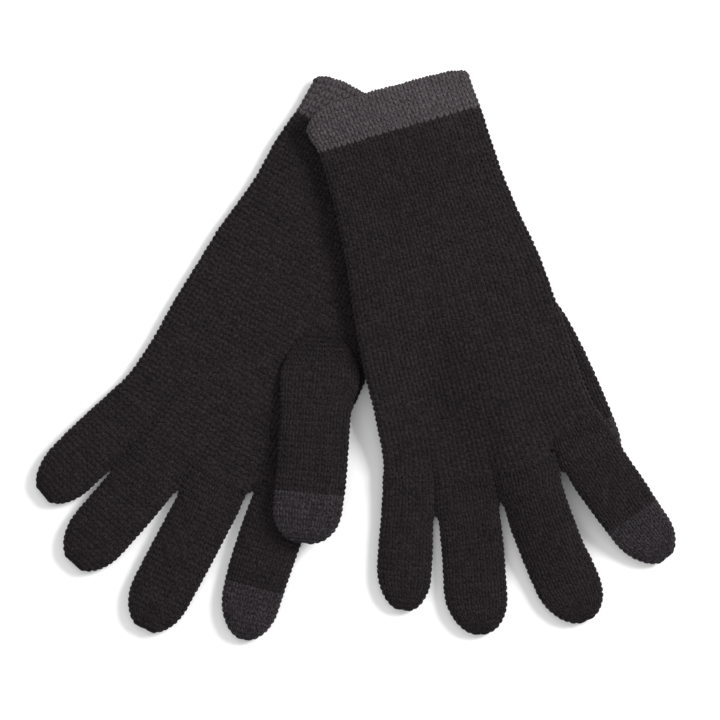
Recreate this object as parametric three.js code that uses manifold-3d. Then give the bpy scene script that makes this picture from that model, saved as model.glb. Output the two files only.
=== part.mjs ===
// A pair of knitted touchscreen gloves lying flat on a table, in millimetres, +Z up.
// The left glove lies palm up with its thumb on top of the palm. The right glove lies back up,
// across the cuff of the left one, with its thumb tucked under the palm.
// Each glove is made of knitted tubes: a contrast band, a wrist, a palm, four fingers and a thumb,
// and the index finger and thumb end in tips of conductive yarn. All the tubes are hollow.
import * as THREE from "three";
import { LoftGeometry } from "three/addons/geometries/LoftGeometry.js";
import { mergeVertices } from "three/addons/utils/BufferGeometryUtils.js";
import Module from "manifold-3d";

const wasm = await Module();
wasm.setup();

// ---- Driving dimensions ----

const KNIT = 2.2; // thickness of one layer of knit
const PLUMP = 10; // height of a tube lying flat: two layers and the air between them
const CLEAR = 0.4; // gap between two knitted pieces that meet
const SQUARENESS = 2.6; // exponent of the oval across a tube: 2 is an ellipse
const FLATTENED = 1.12; // how far the oval would reach below the table before it is pressed flat

const BAND_END = 16; // lengths from the cuff's edge, along the hand
const WRIST_END = 61;
const HAND_END = 176; // the palm is cut back from here to the finger roots
// Half-widths of the hand, each at a length from the cuff's edge.
const HAND_SHAPE = [
  [0, 36],
  [16, 35.5],
  [42, 36.4],
  [61, 38.6],
  [85, 41.6],
  [110, 43.8],
  [128, 44.2],
  [145, 46],
  [157, 49.4],
  [HAND_END, 54],
];
const HAND_LEAN = 1; // how far the palm's middle leans towards the thumb's side

// Each root is [across, along] from the middle of the cuff's edge.
const FINGERS = {
  little: { root: [-37.7, 156.2], half: 11, length: 52.5 },
  ring: { root: [-15.1, 163.4], half: 12.3, length: 64.5 },
  middle: { root: [11.2, 164.9], half: 13.1, length: 71.4 },
  index: { root: [37.9, 155.4], half: 13.3, length: 65.3, touchTip: 22 },
};
const THUMB = { half: 14.2, rootHalf: 15.8, length: 78.5, touchTip: 20.5 };
const THUMB_RAMP = [-8, 12]; // the stretch over which the thumb rises out of the palm
const THUMB_LIP = 1.8; // its thickness where that begins
const THUMB_DOOR = { from: 2, to: 15, half: 9 }; // the hole that joins the thumb's inside to the palm's
const TIP_ROUND = 13; // length of a fingertip's rounded end
const TIP_FLAT = 0.58; // thickness left at the very end, as a share of PLUMP

// How each glove lies: the middle of its cuff's edge, its turn about +Z, where its thumb starts, and
// the headings of its fingers against the hand, in degrees, [at the root, at the tip].
const LAYS = {
  left: {
    cuff: [15.1, 97.2],
    turn: -29,
    thumbOnTop: true,
    thumbRoot: [19.4, 99.5],
    headings: { little: [-11, -21], ring: [-5.5, -13.5], middle: [0.5, 2.5], index: [8.5, 17], thumb: [26.5, 22.5] },
  },
  right: {
    cuff: [13.9, 108.2],
    turn: 16.4,
    thumbOnTop: false,
    thumbRoot: [29.4, 98.7],
    headings: { little: [-12, -24], ring: [-5.5, -14.5], middle: [2, 7.5], index: [11, 22.5], thumb: [9, 5.5] },
  },
};
const CENTRE = [-1.01, 1.12]; // moves the pair so that the origin is under the middle of its box

const DRAPE = 11.2; // how far the upper glove is lifted over a whole tube beneath it
const DRAPE_FALL = 36; // width over which it comes down to the table again
const THUMB_MARGIN = 5; // how far the lifted part reaches beyond the thumb beneath

const HAND_POINTS = 28; // points around a section
const FINGER_POINTS = 16;

// ---- Materials ----

const yarn = (name, color) => new THREE.MeshStandardMaterial({ name, color, roughness: 0.95, metalness: 0 });
const blackYarn = yarn("black_yarn", 0x262325);
const bandYarn = yarn("band_yarn", 0x4c484a);
const touchYarn = yarn("touch_yarn", 0x322f33);

// ---- Curves ----

const radians = THREE.MathUtils.degToRad;
const smoothstep = THREE.MathUtils.smoothstep;
const mix = THREE.MathUtils.lerp;

/** The value at t of a smooth curve through [t, value] points. */
function curveAt(points, t) {
  let i = 1;
  while (i < points.length - 1 && t > points[i][0]) i++;
  const [t0, v0] = points[i - 1];
  const [t1, v1] = points[i];
  const before = points[Math.max(0, i - 2)];
  const after = points[Math.min(points.length - 1, i + 1)];
  const slope0 = (v1 - before[1]) / (t1 - before[0]);
  const slope1 = (after[1] - v0) / (after[0] - t0);
  const step = t1 - t0;
  const k = THREE.MathUtils.clamp((t - t0) / step, 0, 1);
  const k2 = k * k;
  const k3 = k2 * k;
  return (
    (2 * k3 - 3 * k2 + 1) * v0 +
    (k3 - 2 * k2 + k) * step * slope0 +
    (3 * k2 - 2 * k3) * v1 +
    (k3 - k2) * step * slope1
  );
}

const handHalf = (along) => curveAt(HAND_SHAPE, along);
const handLean = (along) => HAND_LEAN * smoothstep(along, 40, 110);

/** The direction of a heading, and the direction to its left-hand side as seen on the hand. */
const ahead = (heading) => new THREE.Vector2(Math.sin(heading), -Math.cos(heading));
const across = (heading) => new THREE.Vector2(Math.cos(heading), Math.sin(heading));

/** The middle line of a finger: a curve from its root that starts and ends on the given headings. */
function fingerLine({ root, length }, [startDegrees, endDegrees]) {
  const start = radians(startDegrees);
  const chord = radians((startDegrees + endDegrees) / 2);
  const from = new THREE.Vector2(root[0], -root[1]);
  const control = from.clone().addScaledVector(ahead(start), length / 2);
  const to = from.clone().addScaledVector(ahead(chord), length);
  return new THREE.QuadraticBezierCurve(from, control, to);
}

/** A place on a finger's middle line, which also runs straight on behind its root. */
function onLine(line, length, distance) {
  const at = Math.max(0, Math.min(1, distance / length));
  const tangent = line.getTangent(at);
  const middle = line.getPoint(at).addScaledVector(tangent, distance - at * length);
  return { middle, heading: Math.atan2(tangent.x, -tangent.y) };
}

// ---- Solids ----

/** The outline across a tube: a squashed oval from low to high, pressed flat underneath. */
function ring(points, { middle, heading, half, low, high }) {
  const side = across(heading);
  const power = 2 / SQUARENESS;
  const round = (value) => Math.sign(value) * Math.abs(value) ** power;
  const halfHeight = (high - low) / 2;
  return Array.from({ length: points }, (_, i) => {
    const angle = (2 * Math.PI * i) / points;
    const out = half * round(Math.cos(angle));
    const up = round(Math.sin(angle));
    const rise = Math.max(-halfHeight, halfHeight * (up < 0 ? FLATTENED * up : up));
    return new THREE.Vector3(middle.x + out * side.x, middle.y + out * side.y, low + halfHeight + rise);
  });
}

/** A closed geometry as a solid that can be cut and joined. */
function solidOf(geometry) {
  const bare = new THREE.BufferGeometry();
  bare.setAttribute("position", geometry.attributes.position);
  bare.setIndex(geometry.index);
  const merged = mergeVertices(bare, 1e-4);
  return new wasm.Manifold(
    new wasm.Mesh({
      numProp: 3,
      vertProperties: merged.attributes.position.array,
      triVerts: new Uint32Array(merged.index.array),
    }),
  );
}

/** A solid as a geometry, each vertex raised by lift(x, y). */
function geometryOf(solid, lift) {
  const { vertProperties, triVerts, numProp, numVert } = solid.getMesh();
  const positions = new Float32Array(numVert * 3);
  for (let i = 0; i < numVert; i++) {
    const [x, y, z] = vertProperties.subarray(i * numProp, i * numProp + 3);
    positions.set([x, y, z + lift(x, y)], i * 3);
  }
  const geometry = new THREE.BufferGeometry();
  geometry.setAttribute("position", new THREE.BufferAttribute(positions, 3));
  geometry.setIndex(new THREE.BufferAttribute(new Uint32Array(triVerts), 1));
  geometry.computeVertexNormals();
  return geometry;
}

/** A solid lofted through sections. */
const loft = (points, sections) =>
  solidOf(new LoftGeometry(sections.map((section) => ring(points, section)), { capStart: true, capEnd: true }));

/** A section taken in by one layer of knit. */
const inset = (section) => ({
  ...section,
  half: section.half - KNIT,
  low: section.low + KNIT,
  high: section.high - KNIT,
});

/** A box beyond a line across a finger, wide enough to cut it off. */
function beyond({ middle, heading }, gap, reach = 120) {
  const box = new THREE.BoxGeometry(reach, reach, reach);
  box.translate(0, -reach / 2 - gap, 0);
  box.rotateZ(heading);
  box.translate(middle.x, middle.y, 0);
  return solidOf(box);
}

/** A flat outline as a tall solid. */
function column(shape, low, high) {
  const geometry = new THREE.ExtrudeGeometry(shape, { depth: high - low, bevelEnabled: false, curveSegments: 6 });
  geometry.translate(0, 0, low);
  return solidOf(geometry);
}

// ---- The hand ----

/** Sections of the hand at lengths from its cuff's edge. */
const handSections = (lengths) =>
  lengths.map((along) => ({
    middle: new THREE.Vector2(handLean(along), -along),
    heading: 0,
    half: handHalf(along),
    low: 0,
    high: PLUMP,
  }));

/** Evenly spaced lengths from one to the other, both included. */
const lengthsFrom = (from, to, steps) => Array.from({ length: steps + 1 }, (_, i) => mix(from, to, i / steps));

/** A hollow stretch of the hand, open at both ends. */
function handTube(from, to, steps) {
  const run = lengthsFrom(from, to, steps);
  const inside = [from - 1, ...run.slice(1, -1), to + 1];
  return loft(HAND_POINTS, handSections(run)).subtract(loft(HAND_POINTS, handSections(inside).map(inset)));
}

/** The outline that ends the palm: it runs along the root of every finger. */
function palmOutline(headings) {
  const wide = 80;
  const corners = Object.entries(FINGERS).flatMap(([name, { root, half }]) => {
    const side = across(radians(headings[name][0]));
    const reach = name === "little" ? [-half - 9, half + 0.3] : name === "index" ? [-half - 0.3, half + 9] : [-half, half];
    return reach.map((out) => new THREE.Vector2(root[0] + out * side.x, -root[1] + out * side.y));
  });
  return new THREE.Shape([new THREE.Vector2(-wide, 10), ...corners, new THREE.Vector2(wide, 10)]);
}

// ---- Fingers and thumb ----

/** Half-width and thickness near a rounded tip, as shares of the full ones. */
function tipShares(length, distance) {
  const k = THREE.MathUtils.clamp((distance - (length - TIP_ROUND)) / TIP_ROUND, 0, 1);
  return { wide: Math.max(0.3, (1 - k ** 2.4) ** (1 / 2.2)), thick: mix(1, TIP_FLAT, k ** 3) };
}

const FINGER_STATIONS = [0, 0.25, 0.5, 0.75, 1];
const TIP_STATIONS = [0.35, 0.6, 0.8, 0.93, 1];

/** Distances of the sections along a finger, close together over its rounded tip. */
const fingerStations = (from, length) => [
  ...FINGER_STATIONS.map((k) => mix(from, length - TIP_ROUND, k)),
  ...TIP_STATIONS.map((k) => length - TIP_ROUND * (1 - k)),
];

/** A hollow finger, open at its root and closed at its tip. */
function fingerTube(finger, line) {
  const section = (length, reach) => (distance) => {
    const { wide, thick } = tipShares(length, distance);
    const half = finger.half * wide;
    return { ...onLine(line, finger.length, distance), half: Math.max(half, reach), low: 0, high: PLUMP * thick };
  };
  const outside = fingerStations(CLEAR, finger.length).map(section(finger.length, 0));
  const inside = fingerStations(-1, finger.length - KNIT).map(section(finger.length - KNIT, KNIT + 1.5));
  return loft(FINGER_POINTS, outside).subtract(loft(FINGER_POINTS, inside.map(inset)));
}

/** The thumb's thickness, which grows out of the palm over its ramp. */
const thumbThickness = (distance) => mix(THUMB_LIP, PLUMP, smoothstep(distance, ...THUMB_RAMP));

/** A hollow thumb that lies flat on z = 0, with a door to the palm in its underside. */
function thumbTube(line) {
  const section = (length) => (distance) => {
    const { wide, thick } = tipShares(length, distance);
    const root = 1 - smoothstep(distance, 0, 26);
    const half = mix(THUMB.half, THUMB.rootHalf, root) * wide;
    return { ...onLine(line, THUMB.length, distance), half, low: 0, high: thumbThickness(distance) * thick };
  };
  const [rampFrom, rampTo] = THUMB_RAMP;
  const ramp = lengthsFrom(rampFrom, rampTo, 4);
  const outside = [...ramp, ...fingerStations(rampTo + 12, THUMB.length)].map(section(THUMB.length));
  const innerLength = THUMB.length - KNIT;
  const inside = [5, 8, rampTo, ...fingerStations(rampTo + 12, innerLength)].map(section(innerLength));
  const hollow = loft(FINGER_POINTS, inside.map((s) => ({ ...inset(s), half: Math.max(s.half - KNIT, 2) })));
  return loft(FINGER_POINTS, outside).subtract(hollow);
}

/** The opening between palm and thumb, as a round-ended slot. */
function thumbDoor(line, low, high) {
  const { from, to, half } = THUMB_DOOR;
  const place = onLine(line, THUMB.length, (from + to) / 2);
  const shape = new THREE.Shape();
  shape.absellipse(0, 0, half, (to - from) / 2, 0, 2 * Math.PI, false, 0);
  const geometry = new THREE.ExtrudeGeometry(shape, { depth: high - low, bevelEnabled: false, curveSegments: 6 });
  geometry.rotateZ(place.heading);
  geometry.translate(place.middle.x, place.middle.y, low);
  return solidOf(geometry);
}

// ---- How the gloves lie on each other ----

/** A point on a glove as [across, along] on the other glove. */
function onGlove(from, to, x, y) {
  const world = new THREE.Vector2(x, y).rotateAround(new THREE.Vector2(), radians(from.turn));
  world.x += from.cuff[0] - to.cuff[0];
  world.y += from.cuff[1] - to.cuff[1];
  world.rotateAround(new THREE.Vector2(), -radians(to.turn));
  return [world.x, -world.y];
}

/** 1 on what lies beneath, falling to 0 at DRAPE_FALL outside it. */
const fall = (outside) => 1 - smoothstep(outside, 0, DRAPE_FALL);

/** Lift of the upper glove over the lower one and over its own thumb. */
function drapeOver(lay, thumbLine) {
  return (x, y) => {
    const [side, along] = onGlove(lay, LAYS.left, x, y);
    const pastEdge = side - handHalf(Math.max(0, along));
    const overGlove = fall(Math.hypot(Math.max(0, pastEdge), Math.max(0, -along)));

    const root = thumbLine.getPoint(0);
    const heading = radians((lay.headings.thumb[0] + lay.headings.thumb[1]) / 2);
    const offset = new THREE.Vector2(x, y).sub(root);
    const out = Math.max(0, -offset.dot(across(heading)) - THUMB.rootHalf - THUMB_MARGIN);
    const past = Math.max(0, offset.dot(ahead(heading)) - THUMB.length - THUMB_MARGIN);
    const behind = Math.max(0, -offset.dot(ahead(heading)) - THUMB_MARGIN);
    const overThumb = fall(Math.hypot(out, past, behind));
    return DRAPE * (1 - (1 - overGlove) * (1 - overThumb));
  };
}

// ---- Assembly ----

function glove(name, lay) {
  const group = new THREE.Group();
  group.position.set(lay.cuff[0] + CENTRE[0], lay.cuff[1] + CENTRE[1], 0);
  group.rotation.z = radians(lay.turn);
  const thumbLine = fingerLine({ root: lay.thumbRoot, length: THUMB.length }, lay.headings.thumb);
  const flat = () => 0;
  const lift = lay.thumbOnTop ? flat : drapeOver(lay, thumbLine);

  const add = (part, solid, material, raise) => {
    const mesh = new THREE.Mesh(geometryOf(solid, raise), material);
    mesh.name = name + "_" + part;
    group.add(mesh);
  };

  add("cuff_band", handTube(0, BAND_END, 2), bandYarn, lift);
  add("wrist", handTube(BAND_END + CLEAR, WRIST_END, 5), blackYarn, lift);

  // The palm's door to the thumb goes through its upper layer, or its lower one where the thumb is beneath.
  const doorInPalm = lay.thumbOnTop ? [PLUMP / 2, PLUMP + 5] : [-5, PLUMP / 2];
  const palm = handTube(WRIST_END + CLEAR, HAND_END, 14)
    .intersect(column(palmOutline(lay.headings), -5, PLUMP + 5))
    .subtract(thumbDoor(thumbLine, ...doorInPalm));
  add("palm", palm, blackYarn, lift);

  for (const [finger, size] of Object.entries(FINGERS)) {
    const line = fingerLine(size, lay.headings[finger]);
    const tube = fingerTube(size, line);
    if (!size.touchTip) {
      add(finger + "_finger", tube, blackYarn, lift);
      continue;
    }
    const cut = onLine(line, size.length, size.length - size.touchTip);
    add(finger + "_finger", tube.subtract(beyond(cut, 0)), blackYarn, lift);
    add(finger + "_touch_tip", tube.intersect(beyond(cut, CLEAR)), touchYarn, lift);
  }

  // On top of the palm the thumb's door opens downwards. Beneath it the thumb is the same, upside down.
  const thumbLift = lay.thumbOnTop ? () => PLUMP + CLEAR : flat;
  const doorHeight = lay.thumbOnTop ? [-5, KNIT + 0.8] : [1.2 + KNIT, PLUMP + 5];
  const thumb = thumbTube(thumbLine).subtract(thumbDoor(thumbLine, ...doorHeight));
  const cut = onLine(thumbLine, THUMB.length, THUMB.length - THUMB.touchTip);
  add("thumb", thumb.subtract(beyond(cut, 0)), blackYarn, thumbLift);
  add("thumb_touch_tip", thumb.intersect(beyond(cut, CLEAR)), touchYarn, thumbLift);
  return group;
}

const pair = new THREE.Group();
pair.add(glove("left", LAYS.left), glove("right", LAYS.right));

export default pair;
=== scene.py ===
"""A pair of knitted touchscreen gloves lying flat and crossed, with every stitch as real geometry.

The left glove lies palm up with its thumb on top of the palm. The right glove lies back up across
the cuff of the left one, and its thumb is tucked under the palm. Each piece of a glove is a hollow
wall of knit covered with stitches, which Geometry Nodes lay on it in rows and columns.
Sizes are in millimetres, and become metres when a mesh is made.
"""

from __future__ import annotations

import logging
import math
from dataclasses import dataclass, field
from enum import Enum
from functools import partial
from typing import Any, Callable

import bpy
import numpy as np
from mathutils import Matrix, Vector

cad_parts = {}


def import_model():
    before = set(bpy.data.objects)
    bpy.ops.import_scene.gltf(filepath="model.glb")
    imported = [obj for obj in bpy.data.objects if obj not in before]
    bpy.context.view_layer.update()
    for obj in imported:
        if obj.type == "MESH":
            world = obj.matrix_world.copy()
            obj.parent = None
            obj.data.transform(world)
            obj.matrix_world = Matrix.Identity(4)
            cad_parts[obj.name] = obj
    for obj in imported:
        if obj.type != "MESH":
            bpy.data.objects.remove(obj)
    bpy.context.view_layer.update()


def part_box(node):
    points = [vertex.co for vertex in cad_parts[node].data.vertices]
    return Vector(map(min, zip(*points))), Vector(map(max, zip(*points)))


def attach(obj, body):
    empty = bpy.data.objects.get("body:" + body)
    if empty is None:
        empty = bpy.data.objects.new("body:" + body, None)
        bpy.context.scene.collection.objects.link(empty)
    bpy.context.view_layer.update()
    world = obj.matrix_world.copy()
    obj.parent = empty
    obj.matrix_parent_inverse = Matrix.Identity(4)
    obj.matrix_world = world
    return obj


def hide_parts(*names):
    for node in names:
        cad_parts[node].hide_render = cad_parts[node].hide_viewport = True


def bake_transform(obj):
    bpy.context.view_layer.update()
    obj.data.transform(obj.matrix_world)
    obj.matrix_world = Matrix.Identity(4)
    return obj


LOG = logging.getLogger("gloves")
MM = 0.001
SEED = 11
Array = np.ndarray
Profile = tuple[tuple[float, float], ...]


class Side(Enum):
    """Which hand a glove is for."""

    LEFT = "left"
    RIGHT = "right"


# ---- small helpers


def smoothstep(x: Array, low: float, high: float) -> Array:
    """A smooth rise from 0 at low to 1 at high.

    Args:
        x: Where to take it.
        low: Where the rise begins.
        high: Where it ends.

    Returns:
        Values from 0 to 1.
    """
    k = np.clip((x - low) / (high - low), 0, 1)
    return k * k * (3 - 2 * k)


def follow(profile: Profile, at: Array) -> Array:
    """Reads a profile, with its corners eased over a few millimetres.

    Args:
        profile: Distances with a value for each.
        at: Distances at which to read it.

    Returns:
        The values there.
    """
    where, value = zip(*profile)
    return np.mean([np.interp(at + ease, where, value) for ease in np.linspace(-4, 4, 9)], axis=0)


def linear(code: str) -> tuple[float, float, float, float]:
    """Turns an sRGB hex colour into the linear one that a shader takes.

    Args:
        code: The colour, such as "#262325".

    Returns:
        Linear red, green, blue and an alpha of 1.
    """
    shares = [int(code[i : i + 2], 16) / 255 for i in (1, 3, 5)]
    rgb = [c / 12.92 if c <= 0.04045 else ((c + 0.055) / 1.055) ** 2.4 for c in shares]
    return (rgb[0], rgb[1], rgb[2], 1.0)


def add_node(
    tree: bpy.types.NodeTree,
    kind: str,
    settings: dict[str, Any] | None = None,
    inputs: dict[int | str, Any] | None = None,
) -> bpy.types.Node:
    """Adds a node with its settings and links.

    Args:
        tree: The tree that gets it.
        kind: The node's type.
        settings: Attributes of the node.
        inputs: For each input by name or number, a value, a socket to link, or a node whose first output to link.

    Returns:
        The node.
    """
    node = tree.nodes.new(kind)
    for name, value in (settings or {}).items():
        setattr(node, name, value)
    for key, value in (inputs or {}).items():
        if isinstance(value, bpy.types.Node):
            value = value.outputs[0]
        if isinstance(value, bpy.types.NodeSocket):
            tree.links.new(value, node.inputs[key])
        else:
            node.inputs[key].default_value = value
    return node


def make_mesh(name: str, points: Array, faces: list[tuple[int, ...]]) -> bpy.types.Object:
    """Makes a smooth mesh object at the origin.

    Args:
        name: Its name.
        points: Corners in millimetres.
        faces: Corner numbers of each face.

    Returns:
        The object, linked to the scene.
    """
    mesh = bpy.data.meshes.new(name)
    mesh.from_pydata((points * MM).tolist(), [], faces)
    mesh.polygons.foreach_set("use_smooth", [True] * len(mesh.polygons))
    mesh.update()
    obj = bpy.data.objects.new(name, mesh)
    bpy.context.scene.collection.objects.link(obj)
    return obj


# ---- finishes


@dataclass(frozen=True)
class YarnFinish:
    """Soft spun yarn, dyed before knitting.

    Short fibres scatter light at every angle, so it is fully rough with a faint sheen, and each
    stitch takes the dye and the light a little differently.
    """

    slot: str
    dark: str
    light: str
    sheen: float = 0.03
    roughness: float = 0.95
    ply_turns: float = 2.5  # twists of the plies along one leg of a stitch
    mottle: float = 7.0  # size of the uneven patches, in millimetres
    fleck: float = 0.8  # size of the light fibre ends, drawn coarser than real so that they show
    flecked: float = 0.68  # how much of the colour's variation they make up
    patched: float = 0.62  # how much of the rest the uneven patches make up, against the stitches' own tone

    def material(self) -> bpy.types.Material:
        """Builds the material.

        Returns:
            A material that reads the stitches' tone attribute and yarn UV map.
        """
        made = bpy.data.materials.get(self.slot) or bpy.data.materials.new(self.slot)
        made.use_nodes = True
        tree = made.node_tree
        tree.nodes.clear()
        add = partial(add_node, tree)
        place = add("ShaderNodeTexCoord")
        tone = add("ShaderNodeAttribute", {"attribute_name": "tone"})
        patches = add(
            "ShaderNodeTexNoise",
            inputs={"Vector": place.outputs["Object"], "Scale": 1 / (self.mottle * MM), "Detail": 3.0},
        )
        fibres = add(
            "ShaderNodeTexNoise",
            inputs={"Vector": place.outputs["Object"], "Scale": 1 / (self.fleck * MM), "Detail": 3.0, "Roughness": 0.7},
        )
        loose = add("ShaderNodeMapRange", inputs={"Value": fibres, "From Min": 0.39, "From Max": 0.67})
        spread = add("ShaderNodeMix", {"data_type": "FLOAT"}, {0: self.patched, 2: tone.outputs["Fac"], 3: patches})
        flecks = add("ShaderNodeMix", {"data_type": "FLOAT"}, {0: self.flecked, 2: spread, 3: loose})
        colour = add("ShaderNodeMix", {"data_type": "RGBA"}, {0: flecks, 6: linear(self.dark), 7: linear(self.light)})
        along = add("ShaderNodeUVMap", {"uv_map": "yarn"})
        ply = add(
            "ShaderNodeTexWave",
            {"wave_type": "BANDS", "bands_direction": "DIAGONAL"},
            {"Vector": along.outputs["UV"], "Scale": self.ply_turns, "Distortion": 0.6, "Detail": 1.0},
        )
        twist = add("ShaderNodeBump", inputs={"Strength": 0.5, "Distance": 0.12 * MM, "Height": ply.outputs["Fac"]})
        fuzz = add(
            "ShaderNodeBump",
            inputs={"Strength": 0.5, "Distance": 0.1 * MM, "Height": fibres, "Normal": twist.outputs["Normal"]},
        )
        shader = add(
            "ShaderNodeBsdfPrincipled",
            inputs={
                "Base Color": colour.outputs[2],
                "Roughness": self.roughness,
                "Sheen Weight": self.sheen,
                "Sheen Roughness": 0.6,
                "Specular IOR Level": 0.04,
                "Normal": fuzz.outputs["Normal"],
            },
        )
        add("ShaderNodeOutputMaterial", inputs={"Surface": shader})
        return made


@dataclass(frozen=True)
class StudioFinish:
    """Matt painted board, without any pattern that would draw the eye."""

    name: str = "painted_board"
    colour: str = "#f4f4f4"

    def material(self) -> bpy.types.Material:
        """Builds the floor's material.

        Returns:
            A plain matt material.
        """
        made = bpy.data.materials.new(self.name)
        made.use_nodes = True
        shader = made.node_tree.nodes["Principled BSDF"]
        shader.inputs["Base Color"].default_value = linear(self.colour)
        shader.inputs["Roughness"].default_value = 0.9
        return made


BLACK = YarnFinish("black_yarn", dark="#030202", light="#302b2e")
BAND = YarnFinish("band_yarn", dark="#242123", light="#575154")
TOUCH = YarnFinish("touch_yarn", dark="#050405", light="#3e393d", sheen=0.05, roughness=0.85, fleck=0.9, flecked=0.78)


# ---- stitches


@dataclass(frozen=True)
class Gauge:
    """The sizes of the knit."""

    wale: float = 3.05  # width of a column of stitches
    course: float = 16 / 7  # height of a row
    nap: float = 1.05  # how far a stitch stands out of the wall
    wall: float = 2.2  # thickness of the knit with its stitches
    skin: float = 1.05 - 0.28  # depth at which the wall behind the stitches begins


@dataclass
class Stitcher:
    """Covers surfaces with V-shaped stitches."""

    gauge: Gauge = field(default_factory=Gauge)
    leg_sides: int = 6
    drawn: tuple[float, float, float] = (2.4, 16 / 9, 0.95)  # wale, course and nap that the stitch is drawn for
    seed: int = SEED

    def __post_init__(self) -> None:
        """Makes the one stitch and the tree that repeats it."""
        self.stitch = self.one_stitch()
        self.tree = self.cover_tree()

    def one_stitch(self) -> bpy.types.Object:
        """Makes the two legs of a stitch, one wale wide, one course high and one nap deep.

        Returns:
            A hidden object, with a UV map that runs along the yarn.
        """
        steps = (0.0, 0.14, 0.34, 0.56, 0.8, 1.0)
        thick = (0.0, 0.40, 0.57, 0.60, 0.46, 0.0)
        points: list[tuple[float, float, float]] = []
        faces: list[tuple[int, ...]] = []
        uvs: list[tuple[float, float]] = []
        sides = self.leg_sides
        for hand in (-1, 1):
            rings: list[list[int]] = []
            for step, radius in zip(steps, thick):
                across = hand * (0.14 + 0.94 * step**0.85)
                along = -0.45 + 2.5 * step
                up = -0.32 + 0.70 * math.sin(math.pi * (0.06 + 0.88 * step))
                count = sides if radius else 1
                rings.append(list(range(len(points), len(points) + count)))
                for i in range(count):
                    turn = 2 * math.pi * i / sides
                    x = across + radius * math.cos(turn)
                    z = up + 0.92 * radius * math.sin(turn)
                    y = along - hand * 0.30 * radius * math.cos(turn)
                    points.append(tuple(c / whole for c, whole in zip((x, y, z), self.drawn)))
            for a, (low, high) in enumerate(zip(rings, rings[1:])):
                for i in range(sides):
                    j = (i + 1) % sides
                    quad = [
                        (low[i % len(low)], (i / sides, steps[a])),
                        (low[j % len(low)], ((i + 1) / sides, steps[a])),
                        (high[j % len(high)], ((i + 1) / sides, steps[a + 1])),
                        (high[i % len(high)], (i / sides, steps[a + 1])),
                    ]
                    face = [quad[0]]
                    face += [c for c in quad[1:] if c[0] not in [f[0] for f in face]]
                    face = list({c[0]: c for c in face}.values())[::-1]
                    faces.append(tuple(c[0] for c in face))
                    uvs.extend(c[1] for c in face)
        mesh = bpy.data.meshes.new("stitch")
        mesh.from_pydata(points, [], faces)
        mesh.polygons.foreach_set("use_smooth", [True] * len(mesh.polygons))
        layer = mesh.uv_layers.new(name="yarn")
        layer.data.foreach_set("uv", [c for uv in uvs for c in uv])
        obj = bpy.data.objects.new("stitch", mesh)
        return obj

    def cover_tree(self) -> bpy.types.NodeTree:
        """Builds the tree that puts a stitch at each place and wraps the flat knit on a surface.

        Returns:
            A tree whose points are places on the flat knit, with the surface's UV as x and y.
        """
        tree = bpy.data.node_groups.new("wrap_knit", "GeometryNodeTree")
        add = partial(add_node, tree)
        takes = {
            "Places": "Geometry",
            "Surface": "Object",
            "Stitch": "Object",
            "Stitch size": "Vector",
            "Unevenness": "Float",
            "Seed": "Int",
            "Yarn": "Material",
        }
        for name, kind in takes.items():
            tree.interface.new_socket(name, in_out="INPUT", socket_type=f"NodeSocket{kind}")
        tree.interface.new_socket("Knit", in_out="OUTPUT", socket_type="NodeSocketGeometry")
        given = add("NodeGroupInput").outputs
        stitch = add("GeometryNodeObjectInfo", inputs={0: given["Stitch"]})
        surface = add("GeometryNodeObjectInfo", inputs={0: given["Surface"]})
        small = add("ShaderNodeMath", {"operation": "SUBTRACT"}, {0: 1.0, 1: given["Unevenness"]})
        large = add("ShaderNodeMath", {"operation": "ADD"}, {0: 1.0, 1: given["Unevenness"]})
        swell = add(
            "FunctionNodeRandomValue",
            {"data_type": "FLOAT_VECTOR"},
            {0: small, 1: large, "Seed": given["Seed"]},
        )
        size = add("ShaderNodeVectorMath", {"operation": "MULTIPLY"}, {0: given["Stitch size"], 1: swell})
        row = add(
            "GeometryNodeInstanceOnPoints",
            inputs={"Points": given["Places"], "Instance": stitch.outputs["Geometry"], "Scale": size},
        )
        tone = add("FunctionNodeRandomValue", {"data_type": "FLOAT"}, {2: 0.0, 3: 1.0, "Seed": given["Seed"]})
        toned = add(
            "GeometryNodeStoreNamedAttribute",
            {"data_type": "FLOAT", "domain": "INSTANCE"},
            {"Geometry": row, "Name": "tone", "Value": tone.outputs[1]},
        )
        real = add("GeometryNodeRealizeInstances", inputs={0: toned})
        spot = add("GeometryNodeInputPosition")
        parts = add("ShaderNodeSeparateXYZ", inputs={0: spot})
        flat = add("ShaderNodeCombineXYZ", inputs={0: parts, 1: parts.outputs[1]})
        chart = add("GeometryNodeInputNamedAttribute", {"data_type": "FLOAT_VECTOR"}, {"Name": "chart"})
        normal = add("GeometryNodeInputNormal")
        where, facing = (
            add(
                "GeometryNodeSampleUVSurface",
                {"data_type": "FLOAT_VECTOR"},
                {0: surface.outputs["Geometry"], 1: value, 2: chart, 3: flat},
            )
            for value in (spot, normal)
        )
        raised = add("ShaderNodeVectorMath", {"operation": "SCALE"}, {0: facing, 3: parts.outputs[2]})
        moved = add("ShaderNodeVectorMath", {"operation": "ADD"}, {0: where, 1: raised})
        wrapped = add("GeometryNodeSetPosition", inputs={"Geometry": real, "Position": moved})
        dyed = add("GeometryNodeSetMaterial", inputs={"Geometry": wrapped, "Material": given["Yarn"]})
        add("NodeGroupOutput", inputs={0: dyed})
        return tree

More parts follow.
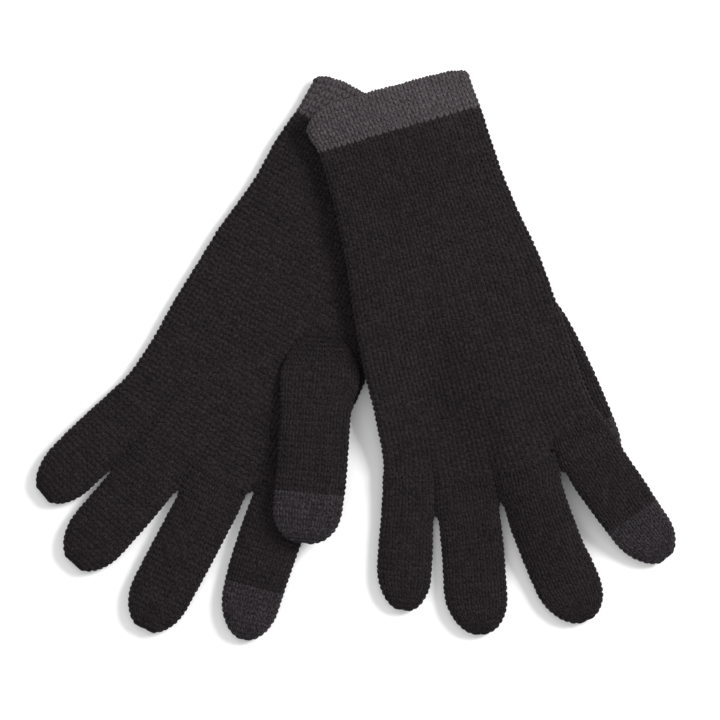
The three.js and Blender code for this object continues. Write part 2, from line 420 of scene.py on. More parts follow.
    def cover(self, name: str, cloth: Cloth, places: Array, finish: YarnFinish) -> bpy.types.Object:
        """Knits a piece.

        Args:
            name: The piece's name.
            cloth: The surface, with its chart of wales and courses.
            places: The wale and course of each stitch.
            finish: The yarn.

        Returns:
            A plain mesh of all its stitches.
        """
        rng = np.random.default_rng(self.seed)
        jitter = rng.normal(0, 0.04, places.shape)
        spots = cloth.chart(places[:, 0] + jitter[:, 0], places[:, 1] + jitter[:, 1])
        mesh = bpy.data.meshes.new(name)
        mesh.from_pydata(np.column_stack([spots, np.zeros(len(spots))]).tolist(), [], [])
        holder = bpy.data.objects.new(name + "_places", mesh)
        bpy.context.scene.collection.objects.link(holder)
        surface = cloth.surface(name + "_surface")
        step = cloth.chart(np.array([1.0]), np.array([1.0])) - cloth.chart(np.array([0.0]), np.array([0.0]))
        values = {
            "Surface": surface,
            "Stitch": self.stitch,
            "Stitch size": (step[0, 0], step[0, 1], self.gauge.nap * MM),
            "Unevenness": 0.1,
            "Seed": self.seed,
            "Yarn": finish.material(),
        }
        modifier = holder.modifiers.new("knit", "NODES")
        modifier.node_group = self.tree
        for item in self.tree.interface.items_tree:
            if item.name in values and item.in_out == "INPUT":
                modifier[item.identifier] = values[item.name]
        bpy.context.view_layer.update()
        shown = holder.evaluated_get(bpy.context.evaluated_depsgraph_get())
        knit = bpy.data.objects.new(name, bpy.data.meshes.new_from_object(shown))
        holder.modifiers.remove(modifier)
        bpy.context.scene.collection.objects.link(knit)
        for used in (holder, surface):
            bpy.data.objects.remove(used)
        return knit


# ---- tubes of knit


@dataclass
class Tube:
    """A knitted tube lying flat: an oval carried along a middle line, in the glove's own frame."""

    distance: Array
    middle: Array
    heading: Array
    half: Array
    low: Array
    high: Array
    squareness: float = 2.6
    flattened: float = 1.12
    rim: float = 0.0  # radius of the rolled edge before distance 0, if there is one
    bend: Callable[[Array], Array] | None = None  # moves points that are otherwise done

    def __post_init__(self) -> None:
        """Spaces the oval's points and the courses evenly along the knit."""
        turn = np.linspace(0, 2 * math.pi, 2001)
        power = 2 / self.squareness
        x = np.sign(np.cos(turn)) * np.abs(np.cos(turn)) ** power
        z = np.sign(np.sin(turn)) * np.abs(np.sin(turn)) ** power
        z = np.maximum(-1, np.where(z < 0, self.flattened * z, z))
        width = float(np.max(self.half))
        height = float(np.max(self.high - self.low)) / 2
        steps = np.hypot(np.diff(x) * width, np.diff(z) * height)
        around = np.concatenate([[0], np.cumsum(steps)])
        self.girth = float(around[-1])
        self.oval = (around / self.girth, x, z)
        rise = np.hypot(np.diff(self.distance), 0.8 * np.diff(self.half))
        run = np.concatenate([[0], np.cumsum(rise)])
        self.run = run - np.interp(0, self.distance, run)

    def distance_at(self, run: Array) -> Array:
        """Where a length measured along the knit, from distance 0, comes to on the middle line."""
        before = self.distance[0] + run - self.run[0]
        return np.where(run < self.run[0], before, np.interp(run, self.run, self.distance))

    def points(self, around: Array, distance: Array, inset: float) -> Array:
        """Points on the tube.

        Args:
            around: Share of the way round, from the thumb's side over the top.
            distance: Distance along the middle line.
            inset: Depth below the tube's outside.

        Returns:
            An array of points, in millimetres.
        """
        turn = np.mod(around, 1.0)
        x = np.interp(turn, self.oval[0], self.oval[1])
        z = np.interp(turn, self.oval[0], self.oval[2])
        depth = np.full(np.shape(distance), inset, float)
        along = np.array(distance, float)
        if self.rim:
            roll = np.clip(-along / self.rim, 0, math.pi)
            depth = depth + self.rim * (1 - np.cos(roll))
            beyond = -along - math.pi * self.rim
            along = np.where(along < 0, np.where(beyond > 0, beyond, -self.rim * np.sin(roll)), along)

        def pick(values: Array) -> Array:
            """Reads values kept for each distance, at the points' own."""
            return np.interp(along, self.distance, values)

        heading = pick(self.heading)
        half = np.maximum(pick(self.half) - depth, 0.3)
        low, high = pick(self.low) + depth, pick(self.high) - depth
        centre = (low + high) / 2
        thick = np.maximum((high - low) / 2, 0.15)
        before = np.minimum(along - self.distance[0], 0)
        mx = pick(self.middle[:, 0]) + before * np.sin(heading)
        my = pick(self.middle[:, 1]) - before * np.cos(heading)
        placed = np.stack([mx + x * half * np.cos(heading), my + x * half * np.sin(heading), centre + z * thick], -1)
        return self.bend(placed) if self.bend else placed


@dataclass
class Cloth:
    """A stretch of a tube, charted in wales around it and courses along it."""

    tube: Tube
    wales: int
    first: float  # courses, from where the chart is drawn
    last: float
    place: Callable[[Array], Array]
    gauge: Gauge = field(default_factory=Gauge)

    def chart(self, wale: Array, course: Array) -> Array:
        """Where a wale and course lie on the chart, from 0 to 1 each way."""
        return np.column_stack([(wale + 2) / (self.wales + 4), (course - self.first) / (self.last - self.first)])

    def at(self, wale: Array, course: Array, inset: float) -> Array:
        """Points of the row's frame at a wale and course, in millimetres."""
        distance = self.tube.distance_at(course * self.gauge.course)
        return self.place(self.tube.points(wale / self.wales, distance, inset))

    def surface(self, name: str) -> bpy.types.Object:
        """Makes the surface that the stitches stand on, with its chart.

        Args:
            name: The surface's name.

        Returns:
            An object whose chart attribute holds wales and courses.
        """
        wale = np.arange(-6, 3 * self.wales + 7) / 3
        rows = int(math.ceil(self.last - self.first)) * 3
        course = np.linspace(self.first, self.last, rows + 1)
        grid_w, grid_c = (g.ravel() for g in np.meshgrid(wale, course))
        points = self.at(grid_w, grid_c, self.gauge.nap)
        width = len(wale)
        faces = [
            (r * width + c, r * width + c + 1, (r + 1) * width + c + 1, (r + 1) * width + c)
            for r in range(rows)
            for c in range(width - 1)
        ]
        obj = make_mesh(name, points, faces)
        flat = self.chart(grid_w, grid_c)
        layer = obj.data.attributes.new("chart", "FLOAT_VECTOR", "POINT")
        layer.data.foreach_set("vector", np.column_stack([flat, np.zeros(len(flat))]).ravel())
        return obj


def round_the_wall(wales: int) -> Array:
    """Shares of the way round at which a wall has its corners, two to a wale."""
    return (np.arange(2 * wales) + 0.5) / (2 * wales)


def make_wall(name: str, outside: list[Array], inside: list[Array], closed: bool) -> bpy.types.Object:
    """Makes a hollow wall of knit from rings of points.

    Args:
        name: Its name.
        outside: Rings of its outer face, from the open end on.
        inside: Rings of its inner face, from the open end on.
        closed: Whether the far end is closed.

    Returns:
        A closed mesh.
    """
    count = len(outside[0])
    rings = outside + inside
    points = np.concatenate(rings)
    far_out, far_in = len(outside) - 1, len(rings) - 1
    strips = [(r, r + 1) for r in range(far_out)] + [(far_out + 1, 0)]
    strips += [(r + 1, r) for r in range(far_out + 1, far_in)] + ([] if closed else [(far_out, far_in)])
    sides = [(i, (i + 1) % count) for i in range(count)]
    faces: list[tuple[int, ...]] = [
        (a * count + i, a * count + j, b * count + j, b * count + i) for a, b in strips for i, j in sides
    ]
    if closed:
        points = np.vstack([points, outside[-1].mean(0), inside[-1].mean(0)])
        for ring, hub, turn in ((far_out, len(points) - 2, 1), (far_in, len(points) - 1, -1)):
            faces += [(ring * count + i, ring * count + j, hub)[::turn] for i, j in sides]
    return make_mesh(name, points, faces)


# ---- the gloves


@dataclass(frozen=True)
class FingerSize:
    """A finger's root from the middle of the cuff's edge, its half-width and its length."""

    across: float
    along: float
    half: float
    length: float
    touch_tip: float = 0.0


@dataclass(frozen=True)
class GloveSize:
    """The sizes that both gloves share."""

    plump: float = 10.0
    clear: float = 0.4
    band: float = 16.0
    wrist: float = 61.0
    end: float = 176.0
    lean: float = 1.0
    wales: int = 48  # columns of stitches around the hand
    shape: Profile = (  # half the hand's width at lengths from the cuff's edge
        *((0, 36), (16, 35.5), (42, 36.4), (61, 38.6), (85, 41.6)),
        *((110, 43.8), (128, 44.2), (145, 46), (157, 49.4), (176, 54)),
    )
    fingers: dict[str, FingerSize] = field(
        default_factory=lambda: {
            "little": FingerSize(-37.7, 156.2, 11, 52.5),
            "ring": FingerSize(-15.1, 163.4, 12.3, 64.5),
            "middle": FingerSize(11.2, 164.9, 13.1, 71.4),
            "index": FingerSize(37.9, 155.4, 13.3, 65.3, 22),
        }
    )
    thumb_half: float = 14.2
    thumb_root_half: float = 15.8
    thumb_length: float = 78.5
    thumb_tip: float = 20.5
    tip_round: float = 17.0

    def half_at(self, along: Array) -> Array:
        """Half the hand's width, a smooth curve through its shape.

        Args:
            along: Lengths from the cuff's edge.

        Returns:
            The half-widths there.
        """
        t, half = (np.array(column, float) for column in zip(*self.shape))
        slope = np.gradient(half, t)
        slope[1:-1] = (half[2:] - half[:-2]) / (t[2:] - t[:-2])
        i = np.clip(np.searchsorted(t, along) - 1, 0, len(t) - 2)
        step = t[i + 1] - t[i]
        k = np.clip((along - t[i]) / step, 0, 1)
        return (
            (2 * k**3 - 3 * k**2 + 1) * half[i]
            + (k**3 - 2 * k**2 + k) * step * slope[i]
            + (3 * k**2 - 2 * k**3) * half[i + 1]
            + (k**3 - k**2) * step * slope[i + 1]
        )

    def lean_at(self, along: Array) -> Array:
        """How far the hand's middle leans to the thumb's side."""
        return self.lean * smoothstep(along, 40, 110)


@dataclass(frozen=True)
class Slack:
    """How loose knit settles beyond its nominal width, on the little finger's side and the thumb's."""

    little_side: Profile
    thumb_side: Profile
    longer: float = 0.0


@dataclass(frozen=True)
class Lay:
    """How a glove lies.

    It holds the cuff's middle, the glove's turn, the thumb's start, the fingers' headings, the points
    where fingers part, and how the knit has settled.
    """

    cuff: tuple[float, float]
    turn: float
    thumb_root: tuple[float, float]
    thumb_on_top: bool
    headings: dict[str, tuple[float, float]]
    crotches: tuple[tuple[float, float], ...]
    slack: dict[str, Slack]
    cuff_bow: float  # how far the middle of the cuff's edge bows out
    cuff_round: tuple[float, float]  # how far its corners fall back, on the little finger's side and the thumb's
    tip_lean: float  # how far the fingertips settle towards the thumb's side


SIZE = GloveSize()
LAYS = {
    Side.LEFT: Lay(
        cuff=(15.1, 97.2),
        turn=-29.0,
        thumb_root=(19.4, 99.5),
        thumb_on_top=True,
        headings=dict(little=(-11, -21), ring=(-5.5, -13.5), middle=(0.5, 2.5), index=(8.5, 17), thumb=(26.5, 22.5)),
        crotches=((-31.5, 183.0), (-3.1, 178.0), (23.9, 162.2)),
        slack={
            "hand": Slack(
                ((0, 1.3), (12, 1.6), (20, 2.6), (32, 3.3), (50, 1.8), (75, 2.2), (90, 1.3), (110, 0.8), (150, 0.2)),
                ((0, 0.5), (20, 0.3), (100, -0.5), (150, 0)),
            ),
            "little": Slack(
                ((-4, -1.2), (12, 0.6), (24, 1.5), (36, 1.2), (52, 0.9)),
                ((0, 0.2), (24, 1.2), (52, 0.9)),
                0.7,
            ),
            "ring": Slack(
                ((0, 0.2), (30, 2.1), (45, 2.5), (64, 2.4)),
                ((0, 0.2), (18, 0.7), (48, -0.5), (64, -1.2)),
                -0.3,
            ),
            "middle": Slack(
                ((0, 0.2), (18, 1.0), (70, 1.2)),
                ((-4, -2.0), (0, -1.6), (6, -1.0), (14, -0.6), (40, -0.6), (70, -1.6)),
                -0.5,
            ),
            "index": Slack(
                ((0, 0.4), (12, 1.4), (36, 1.9), (48, 1.5), (64, 0.4)),
                ((-4, -2.6), (0, -1.9), (4, -0.9), (9, -0.6), (22, -1.5), (40, -2.3), (64, -3.6)),
                -0.4,
            ),
            "thumb": Slack(
                ((0, 0.0), (30, -0.3), (78, -0.6)),
                ((-6, 4.4), (9, 4.6), (14, 4.0), (22, 1.9), (30, 1.8), (54, 2.2), (66, 1.7), (78, 1.2)),
                0.8,
            ),
        },
        cuff_bow=3.9,
        cuff_round=(3.4, 3.0),
        tip_lean=0.6,
    ),
    Side.RIGHT: Lay(
        cuff=(13.9, 108.2),
        turn=16.4,
        thumb_root=(29.4, 98.7),
        thumb_on_top=False,
        headings=dict(little=(-12, -24), ring=(-5.5, -14.5), middle=(2, 7.5), index=(11, 22.5), thumb=(9, 5.5)),
        crotches=((-30.6, 174.0), (-3.0, 176.0), (24.8, 170.2)),
        slack={
            "hand": Slack(
                ((0, 1.2), (4, 1.6), (10, 0.6), (16, -0.6), (63, -1.5), (90, -0.5), (120, 0.1), (130, 0.5), (150, 0.2)),
                ((0, -0.5), (6, -0.3), (16, 0.8), (30, 0.5), (80, 0.2), (100, -1.2), (120, -0.9), (155, -1.6)),
            ),
            "little": Slack(
                ((-4, -1.1), (12, 0.4), (24, 1.5), (36, 1.9), (52, 1.5)),
                ((0, 0.2), (18, -0.4), (52, -0.3)),
                2.2,
            ),
            "ring": Slack(
                ((0, 0.2), (18, 1.2), (36, 1.9), (48, 2.4), (64, 1.8)),
                ((0, 0.2), (18, 0.6), (64, -0.4)),
                0.0,
            ),
            "middle": Slack(
                ((0, 0.2), (24, 1.7), (48, 1.2), (70, 0.2)),
                ((0, 0.2), (14, -1.1), (36, -1.1), (48, 0.2), (70, 0)),
                -2.0,
            ),
            "index": Slack(
                ((0, 0.5), (18, 2.0), (30, 1.3), (42, 0.4), (64, -0.4)),
                ((-4, -3.9), (0, -3.3), (4, -2.3), (8, -2.0), (16, -2.3), (36, -1.5), (64, -2.2)),
                0.8,
            ),
            "thumb": Slack(
                ((0, 0.0), (78, 0.0)),
                ((0, -1.7), (12, -0.5), (20, 0.8), (30, 1.5), (50, 1.6), (78, 1.2)),
            ),
        },
        cuff_bow=1.6,
        cuff_round=(6.6, 3.2),
        tip_lean=1.1,
    ),
}


def direction(degrees: float) -> Array:
    """The unit vector of a heading against the hand, in the glove's frame."""
    a = math.radians(degrees)
    return np.array([math.sin(a), -math.cos(a)])


def finger_line(root: tuple[float, float], length: float, headings: tuple[float, float]) -> Callable:
    """The middle line of a finger, a curve that starts and ends on the given headings.

    Args:
        root: Across and along from the middle of the cuff's edge.
        length: Its length.
        headings: Degrees at the root and at the tip.

    Returns:
        A function from distances to middle points and headings in radians.
    """
    start = np.array([root[0], -root[1]])
    control = start + direction(headings[0]) * length / 2
    end = start + direction(sum(headings) / 2) * length

    def line(distance: Array) -> tuple[Array, Array]:
        """Follows the curve, and goes straight on past its ends.

        Args:
            distance: Distances from the root.

        Returns:
            Middle points, and headings in radians.
        """
        k = np.clip(distance / length, 0, 1)[:, None]
        point = (1 - k) ** 2 * start + 2 * k * (1 - k) * control + k**2 * end
        tangent = 2 * (1 - k) * (control - start) + 2 * k * (end - control)
        tangent /= np.linalg.norm(tangent, axis=1)[:, None]
        point = point + tangent * (distance[:, None] - k * length)
        return point, np.arctan2(tangent[:, 0], -tangent[:, 1])

    return line


@dataclass
class Glove:
    """One glove: its hand, fingers and thumb, each a wall of knit covered with stitches."""

    side: Side
    stitcher: Stitcher
    size: GloveSize = SIZE
    drape: float = 11.2
    drape_fall: float = 36.0  # how far beside the thing beneath it still falls
    thumb_margin: float = 5.0
    thumb_flatter: float = 1.6  # how much lower a thumb that rests on the palm lies
    thumb_sunk: float = 0.9  # how deep its root sinks into the palm
    crease: tuple[float, float] = (0.66, 2.6)  # a crease's depth as a share, and its width
    unevenness: float = 0.32
    overlap: float = 0.7  # how far neighbouring fingers reach past the crease that they share

    def __post_init__(self) -> None:
        """Finds the glove's place from its CAD cuff."""
        self.lay = LAYS[self.side]
        self.gauge = self.stitcher.gauge
        self.thumb_line = finger_line(self.lay.thumb_root, self.size.thumb_length, self.lay.headings["thumb"])
        a = math.radians(self.lay.turn)
        self.turning = np.array([[math.cos(a), -math.sin(a)], [math.sin(a), math.cos(a)]])
        low, high = (np.array(corner[:2]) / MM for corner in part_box(self.node("cuff_band")))
        self.origin = (low + high) / 2 + self.turning @ np.array([0, (self.size.band - self.size.clear) / 2])

    # ---- places

    def node(self, part: str) -> str:
        """The CAD node of a part of this glove."""
        return f"{self.side.value}_{part}"

    def lift(self, x: Array, y: Array) -> Array:
        """How far the upper glove is lifted over the lower one and over its own thumb.

        Args:
            x: Places across the glove.
            y: Places against its length.

        Returns:
            Heights to add there.
        """
        if self.side is Side.LEFT:
            return np.zeros_like(x)
        other = LAYS[Side.LEFT]
        world = np.stack([x, y], -1) @ self.turning.T + np.array(self.lay.cuff) - np.array(other.cuff)
        b = -math.radians(other.turn)
        across = world[..., 0] * math.cos(b) - world[..., 1] * math.sin(b)
        along = -(world[..., 0] * math.sin(b) + world[..., 1] * math.cos(b))
        past = np.maximum(0, across - self.size.half_at(np.maximum(0, along)))
        over_glove = 1 - smoothstep(np.hypot(past, np.maximum(0, -along)), 0, self.drape_fall)
        heading = math.radians(sum(self.lay.headings["thumb"]) / 2)
        root = np.array([self.lay.thumb_root[0], -self.lay.thumb_root[1]])
        offset = np.stack([x, y], -1) - root
        ahead = offset[..., 0] * math.sin(heading) - offset[..., 1] * math.cos(heading)
        beside = offset[..., 0] * math.cos(heading) + offset[..., 1] * math.sin(heading)
        out = np.maximum(0, -beside - self.size.thumb_root_half - self.thumb_margin)
        beyond = np.maximum(0, ahead - self.size.thumb_length - self.thumb_margin)
        behind = np.maximum(0, -ahead - self.thumb_margin)
        over_thumb = 1 - smoothstep(np.sqrt(out**2 + beyond**2 + behind**2), 0, self.drape_fall)
        return self.drape * (1 - (1 - over_glove) * (1 - over_thumb))

    def to_row(self, points: Array) -> Array:
        """Turns and moves points from the glove's frame to the row's."""
        flat = points[..., :2] @ self.turning.T + self.origin
        return np.concatenate([flat, points[..., 2:]], -1)

    def laid(self, points: Array) -> Array:
        """Puts points of the hand or a finger where they lie, draped and a little uneven.

        Args:
            points: Points in the glove's frame.

        Returns:
            The points in the row's frame.
        """
        x, y, z = points[..., 0], points[..., 1], points[..., 2]
        wave = np.sin(x / 9 + 1.3) * np.sin(y / 13 + 0.4) + 0.6 * np.sin(x / 5.2 - y / 17) + 0.5 * np.sin(y / 6.5)
        top = smoothstep(z, 0.55 * self.size.plump, self.size.plump)
        lowered = z - top * self.unevenness * (1.2 + wave)
        return self.to_row(np.stack([x, y, lowered + self.lift(x, y)], -1))

    def laid_thumb(self, points: Array) -> Array:
        """Puts points of the thumb where they lie."""
        rise = self.size.plump + self.size.clear if self.lay.thumb_on_top else 0.0
        return self.to_row(points + np.array([0, 0, rise]))

    # ---- shapes

    def root_corners(self) -> Array:
        """Finds the corners of the line where the palm ends and the fingers begin.

        Returns:
            Across and along of each corner, two to a finger.
        """
        corners = []
        for name, finger in self.size.fingers.items():
            a = math.radians(self.lay.headings[name][0])
            for out in (-finger.half, finger.half):
                corners.append((finger.across + out * math.cos(a), finger.along - out * math.sin(a)))
        return np.array(corners)

    def creased(self, points: Array) -> Array:
        """Bows the cuff's edge and pinches the palm between the fingers, deeper towards their roots.

        Args:
            points: Points of the hand's tube.

        Returns:
            The points moved.
        """
        corners = self.root_corners()
        names = list(self.size.fingers)
        across, along = points[..., 0], -points[..., 1]
        pinch = np.zeros_like(across)
        for i in range(3):
            root = corners[2 * i + 1 : 2 * i + 3].mean(0)
            heading = math.radians(sum(self.lay.headings[n][0] for n in names[i : i + 2]) / 2)
            line = root[0] + (along - root[1]) * math.tan(heading)
            depth = self.crease[0] * smoothstep(along - root[1], -16, 1.5)
            pinch = np.maximum(pinch, depth * np.exp(-(((across - line) / self.crease[1]) ** 2)))
        middle = self.size.plump / 2
        result = points.copy()
        fall = np.where(across < 0, *self.lay.cuff_round) * np.abs(across / 36) ** 7
        bow = self.lay.cuff_bow - fall
        result[..., 1] += bow * (1 - smoothstep(along, -1, self.size.band))
        result[..., 2] = middle + (points[..., 2] - middle) * (1 - pinch)
        return result

    def hand_tube(self) -> Tube:
        """Shapes the cuff, wrist and palm.

        Returns:
            One tube for all three.
        """
        t = np.linspace(0, self.size.end, 177)
        zero = np.zeros_like(t)
        slack = self.lay.slack["hand"]
        less, more = follow(slack.little_side, t), follow(slack.thumb_side, t)
        return Tube(
            distance=t,
            middle=np.column_stack([self.size.lean_at(t) + (more - less) / 2, -t]),
            heading=zero,
            half=self.size.half_at(t) + (more + less) / 2,
            low=zero,
            high=zero + self.size.plump,
            rim=(self.gauge.wall - self.gauge.nap) / 2,
            bend=self.creased,
        )

    def tip_shares(self, distance: Array, length: float, blunt: float = 2.1) -> tuple[Array, Array]:
        """Rounds a fingertip.

        Args:
            distance: Distances along the finger.
            length: The finger's length.
            blunt: How square the tip is seen from above.

        Returns:
            Half-width and thickness, as shares of the full ones.
        """
        k = np.clip((distance - length + self.size.tip_round) / self.size.tip_round, 0, 1)
        return 0.12 + 0.88 * np.sqrt(1 - k**blunt), 0.1 + 0.9 * np.sqrt(1 - k**3.6)

    def edge(self, name: str, side: int, distance: Array, middle: Array, heading: Array) -> Array:
        """How far a finger's edge stands from its middle line.

        Up to the crotch it reaches the crease that it shares with its neighbour.

        Args:
            name: The finger.
            side: -1 for the little finger's side, 1 for the thumb's.
            distance: Distances along the finger.
            middle: Its middle line there.
            heading: Its heading there, in radians.

        Returns:
            The distance to the edge, before the tip's rounding.
        """
        names = list(self.size.fingers)
        slack = self.lay.slack[name]
        free = self.size.fingers[name].half + follow(slack.thumb_side if side > 0 else slack.little_side, distance)
        pair = names.index(name) - (side < 0)
        if not 0 <= pair < len(names) - 1:
            return free
        start = self.root_corners()[2 * pair + 1 : 2 * pair + 3].mean(0) * (1, -1)
        crease = np.array(self.lay.crotches[pair]) * (1, -1) - start
        out = side * np.stack([np.cos(heading), np.sin(heading)], -1)
        from_start = middle - start
        turned = out[:, 0] * crease[1] - out[:, 1] * crease[0]
        reach = (crease[0] * from_start[:, 1] - crease[1] * from_start[:, 0]) / turned
        share = (out[:, 0] * from_start[:, 1] - out[:, 1] * from_start[:, 0]) / turned
        apart = smoothstep((share - 1) * np.linalg.norm(crease), -1.0, 3.0)
        return (reach + self.overlap) * (1 - apart) + free * apart

    def finger_tube(self, name: str) -> Tube:
        """Shapes a finger, a little wider than its root once it is clear of its neighbours.

        Args:
            name: The finger.

        Returns:
            Its tube.
        """
        finger = self.size.fingers[name]
        length = finger.length + self.lay.slack[name].longer
        d = np.concatenate([np.linspace(-4, length - 6, 70), length - 5.9 * np.linspace(1, 0, 60) ** 2])
        middle, heading = finger_line((finger.across, finger.along), finger.length, self.lay.headings[name])(d)
        wide, thick = self.tip_shares(d, length)
        less, more = (self.edge(name, side, d, middle, heading) for side in (-1, 1))
        shift = (more - less) / 2 + self.lay.tip_lean * smoothstep(d, length - 20, length)
        middle = middle + np.stack([np.cos(heading), np.sin(heading)], -1) * shift[:, None]
        full = self.size.plump
        return Tube(
            distance=d,
            middle=middle,
            heading=heading,
            half=(more + less) / 2 * wide,
            low=0.4 * full * (1 - thick),
            high=0.4 * full * (1 - thick) + full * thick,
        )

    def thumb_tube(self) -> Tube:
        """Shapes the thumb, which grows out of the palm.

        Returns:
            Its tube.
        """
        slack = self.lay.slack["thumb"]
        length = self.size.thumb_length + slack.longer
        d = np.concatenate([np.linspace(-7, length - 6, 80), length - 5.9 * np.linspace(1, 0, 60) ** 2])
        middle, heading = self.thumb_line(d)
        less, more = follow(slack.little_side, d), follow(slack.thumb_side, d)
        middle = middle + np.stack([np.cos(heading), np.sin(heading)], -1) * ((more - less) / 2)[:, None]
        wide, thick = self.tip_shares(d, length, blunt=2.9)
        root = 1 - smoothstep(d, 0, 26)
        grown = 0.04 + 0.96 * smoothstep(d, -3, 30) if self.lay.thumb_on_top else 0.04 + 0.96 * smoothstep(d, -7, 13)
        wide = wide * (0.4 + 0.6 * np.sqrt(1 - (1 - smoothstep(d, -7, 20)) ** 2))
        sunk = self.thumb_sunk * (1 - smoothstep(d, 0, 16))
        full = self.size.plump
        low = 0.4 * full * (1 - thick)
        top = low + full * thick * grown
        wider = (self.size.thumb_root_half - self.size.thumb_half) * root
        if self.lay.thumb_on_top:
            low, top = low - sunk, top - self.thumb_flatter * thick * grown
        else:
            top = np.maximum(top, low + 1.1 * self.gauge.wall)
        return Tube(
            distance=d,
            middle=middle,
            heading=heading,
            half=(self.size.thumb_half + wider + (more + less) / 2) * wide,
            low=low,
            high=top,
        )

    # ---- pieces

    def finish_piece(
        self, piece: bpy.types.Object, node: str, finish: YarnFinish, bodies: tuple[str, ...], span: tuple | None
    ) -> None:
        """Gives a piece its finish, hides its CAD node and attaches the piece to its body, unless it spans two.

        Args:
            piece: The piece.
            node: The CAD node that it stands for.
            finish: Its yarn.
            bodies: The body that it is attached to, or the two that it spans, which are only named in the log.
            span: If given, the piece is attached to no body and its place is baked into its mesh.
        """
        if not piece.data.materials:
            piece.data.materials.append(finish.material())
        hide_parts(node)
        if span:
            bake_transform(piece)
        else:
            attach(piece, bodies[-1])
        LOG.info("%s: %d faces, moves with %s", piece.name, len(piece.data.polygons), " and ".join(bodies))

    def make_hand(self) -> None:
        """Makes the cuff band, the wrist and the palm."""
        tube = self.hand_tube()
        course = self.gauge.course
        rows = int(self.size.end / course)
        cloth = Cloth(tube, self.size.wales, -8, rows + 1, self.laid)
        corners = self.root_corners()
        wale = np.arange(self.size.wales) + 0.5
        fine = round_the_wall(self.size.wales)
        side = np.interp(fine, tube.oval[0], tube.oval[1])
        ends = np.full(len(fine), 160.0)
        for _ in range(6):
            across = self.size.lean_at(ends) + side * (self.size.half_at(ends) - self.gauge.nap)
            ends = np.interp(across, corners[:, 0], corners[:, 1])
        body = self.node("hand")
        spans = {
            "cuff_band": (0.0, self.size.band, BAND),
            "wrist": (self.size.band, self.size.wrist, BLACK),
            "palm": (self.size.wrist, self.size.end, BLACK),
        }
        for part, (start, stop, finish) in spans.items():
            first, last = round(start / course), round(stop / course)
            lead = -3 if part == "cuff_band" else first
            grid_w, grid_c = (g.ravel() for g in np.meshgrid(wale, np.arange(lead, last, dtype=float)))
            if part == "palm":
                limit = np.interp(grid_w / self.size.wales, fine, ends) / course
                keep = grid_c < limit - 0.1
                grid_w, grid_c = grid_w[keep], grid_c[keep]
            places = np.column_stack([grid_w, grid_c])
            upper = grid_w < self.size.wales / 2
            halves = {"_upper": upper, "_lower": ~upper} if part == "palm" else {"": grid_w > 0}
            for label, chosen in halves.items():
                knit = self.stitcher.cover(f"{self.node(part)}_knit{label}", cloth, places[chosen], finish)
                self.finish_piece(knit, self.node(part), finish, (body,), None)
            seam = 0.4 * course  # the walls meet a little short of the stitches, whose zig-zag edge then shows
            wall = self.hand_wall(part, tube, max(start - seam, 0.0), stop - seam, ends if part == "palm" else None)
            self.finish_piece(wall, self.node(part), finish, (body,), None)

    def hand_wall(self, part: str, tube: Tube, start: float, stop: float, ends: Array | None) -> bpy.types.Object:
        """Makes the wall behind a stretch of the hand's stitches.

        Args:
            part: The part's name.
            tube: The hand's tube.
            start: Where it starts.
            stop: Where it stops.
            ends: For the palm, where each wale stops.

        Returns:
            The wall.
        """
        around = round_the_wall(self.size.wales)
        rows = max(6, int((stop - start) / 3))
        outside, inside = [], []
        limit = np.full(len(around), stop) if ends is None else ends
        if part == "cuff_band":
            for roll in np.linspace(-math.pi * tube.rim * 0.96, -0.1, 6):
                outside.append(self.laid(tube.points(around, np.full(len(around), roll), self.gauge.skin)))
        for k in np.linspace(0, 1, rows):
            distance = start + (limit - start) * k
            outside.append(self.laid(tube.points(around, distance, self.gauge.skin)))
            inside.append(self.laid(tube.points(around, distance, self.gauge.wall)))
        return make_wall(f"{self.node(part)}_wall", outside, inside, closed=False)

    def make_finger(self, name: str) -> None:
        """Makes a finger, and its tip of conductive yarn if it has one.

        Args:
            name: The finger.
        """
        finger = self.size.fingers[name]
        line = finger_line((finger.across, finger.along), finger.length, self.lay.headings[name])
        middle, _ = line(np.array([-0.5, 9.0]))
        height = self.size.plump / 2 + self.lift(middle[:, 0], middle[:, 1])
        ends = self.to_row(np.column_stack([middle, height])) * MM
        cut = finger.length - finger.touch_tip if finger.touch_tip else None
        span = (Vector(ends[0]), Vector(ends[1]))
        self.make_tube_pieces(name, f"{name}_finger", self.finger_tube(name), cut, self.laid, span, -0.2)

    def make_thumb(self) -> None:
        """Makes the thumb and its tip of conductive yarn."""
        middle, _ = self.thumb_line(np.array([-7.0, 6.0]))
        ends = self.to_row(np.column_stack([middle, [self.size.plump] * 2])) * MM
        cut = self.size.thumb_length - self.size.thumb_tip
        span = (Vector(ends[0]), Vector(ends[1])) if self.lay.thumb_on_top else None
        self.make_tube_pieces("thumb", "thumb", self.thumb_tube(), cut, self.laid_thumb, span, -6.4)

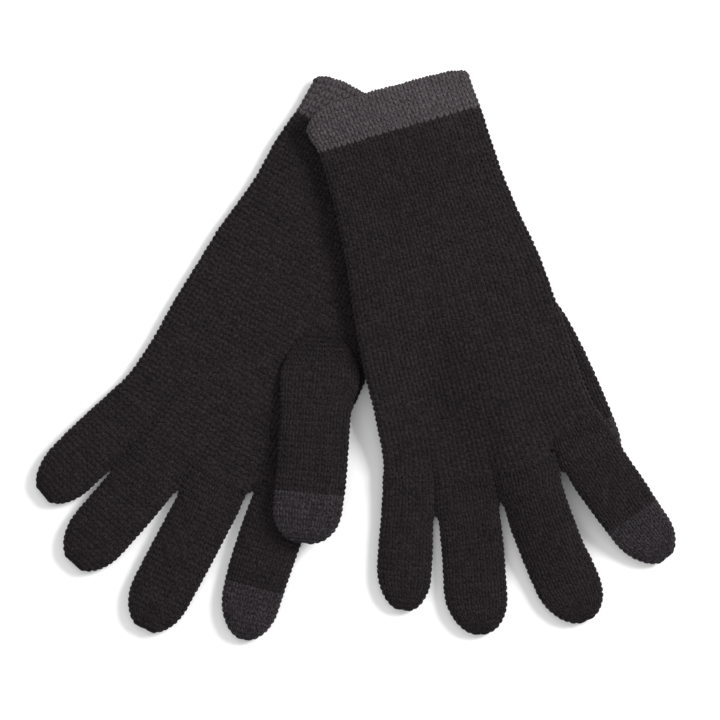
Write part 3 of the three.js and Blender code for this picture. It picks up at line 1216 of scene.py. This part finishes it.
    def make_tube_pieces(
        self,
        name: str,
        part: str,
        tube: Tube,
        cut: float | None,
        place: Callable[[Array], Array],
        span: tuple[Vector, Vector] | None,
        start: float,
    ) -> None:
        """Makes the knit and the wall of a finger or thumb, and of its tip.

        Args:
            name: The finger, or "thumb".
            part: Its part's name.
            tube: Its tube.
            cut: Where the tip's yarn begins, if it has one.
            place: Puts its points where they lie.
            span: Two points near its root; if given, the knit and wall are attached to no body and only have their
                place baked in.
            start: Distance at which its wall starts.
        """
        course = self.gauge.course
        bodies = (self.node("hand"), self.node(name))
        wales = 2 * round(tube.girth / self.gauge.wale / 2)
        length = float(tube.distance[-1])
        total = float(tube.run[-1]) / course
        first = float(np.interp(start, tube.distance, tube.run)) / course
        cloth = Cloth(tube, wales, math.floor(first) - 2, total + 1, place)
        border = float(np.interp(cut, tube.distance, tube.run)) / course if cut else total
        rows = np.arange(math.ceil(first - 1.4), total - 1.0)
        around = round_the_wall(wales)
        pieces = [(part, rows < border - 0.5, start, cut or length, BLACK, span)]
        if cut:
            pieces.append((f"{name}_touch_tip", rows >= border - 0.5, cut, length, TOUCH, None))
        for label, chosen, near, far, finish, bend in pieces:
            moves = bodies if bend else bodies[1:]
            grid = np.meshgrid(np.arange(wales) + 0.5, rows[chosen])
            places = np.column_stack([g.ravel() for g in grid])
            knit = self.stitcher.cover(f"{self.node(label)}_knit", cloth, places, finish)
            self.finish_piece(knit, self.node(label), finish, moves, bend)
            closed = far == length
            steps = np.linspace(0, 1, max(8, int((far - near) / 2.2)))
            if closed:
                steps = 1 - (1 - steps) ** 1.35
            deep = far - (self.gauge.wall if closed else 0)
            outside, inside = (
                [place(tube.points(around, np.full(2 * wales, near + (end - near) * k), inset)) for k in steps]
                for end, inset in ((far, self.gauge.skin), (deep, self.gauge.wall))
            )
            wall = make_wall(f"{self.node(label)}_wall", outside, inside, closed)
            self.finish_piece(wall, self.node(label), finish, moves, bend)

    def build(self) -> None:
        """Makes the whole glove."""
        self.make_hand()
        for name in self.size.fingers:
            self.make_finger(name)
        self.make_thumb()


# ---- the studio


@dataclass
class Studio:
    """A pale floor, a soft key light, a fill and the camera straight above."""

    span: float = 302.4  # what the camera takes in, in millimetres
    view: tuple[float, float] = (1.1, -1.6)
    distance: float = 1600.0
    sensor: float = 36.0

    def light(self, name: str, place: tuple[float, float, float], size: float, power: float) -> None:
        """Adds a soft square light that faces the gloves.

        Args:
            name: The light's name.
            place: Where it hangs, in millimetres.
            size: Its side, in millimetres.
            power: Its power, in watts.
        """
        data = bpy.data.lights.new(name, "AREA")
        data.size = size * MM
        data.energy = power
        lamp = bpy.data.objects.new(name, data)
        lamp.location = Vector(place) * MM
        lamp.rotation_euler = (-lamp.location).to_track_quat("-Z", "Y").to_euler()
        bpy.context.scene.collection.objects.link(lamp)

    def build(self) -> None:
        """Makes the floor, the lights and the camera."""
        far = 4000.0
        corners = np.array([[-far, -far, -0.2], [far, -far, -0.2], [far, far, -0.2], [-far, far, -0.2]])
        floor = make_mesh("floor", corners, [(0, 1, 2, 3)])
        floor.data.materials.append(StudioFinish().material())
        world = bpy.data.worlds.new("studio")
        world.use_nodes = True
        world.node_tree.nodes["Background"].inputs["Color"].default_value = linear("#ffffff")
        world.node_tree.nodes["Background"].inputs["Strength"].default_value = 0.6
        bpy.context.scene.world = world
        bpy.context.scene.view_settings.view_transform = "Standard"
        self.light("key", (900, 500, 1100), 500, 21)
        self.light("top", (-300, 200, 1700), 1400, 11)
        data = bpy.data.cameras.new("camera")
        data.sensor_width = self.sensor
        data.lens = self.sensor * self.distance / self.span
        camera = bpy.data.objects.new("camera", data)
        camera.location = Vector((self.view[0], self.view[1], self.distance)) * MM
        bpy.context.scene.collection.objects.link(camera)
        bpy.context.scene.camera = camera
        LOG.info("studio: camera %.0f mm above the floor", self.distance)


def main() -> None:
    """Builds the pair in its studio."""
    logging.basicConfig(level=logging.INFO, format="%(message)s")
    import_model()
    Studio().build()
    stitcher = Stitcher()
    for side in Side:
        Glove(side, stitcher).build()


if __name__ == "__main__":
    main()
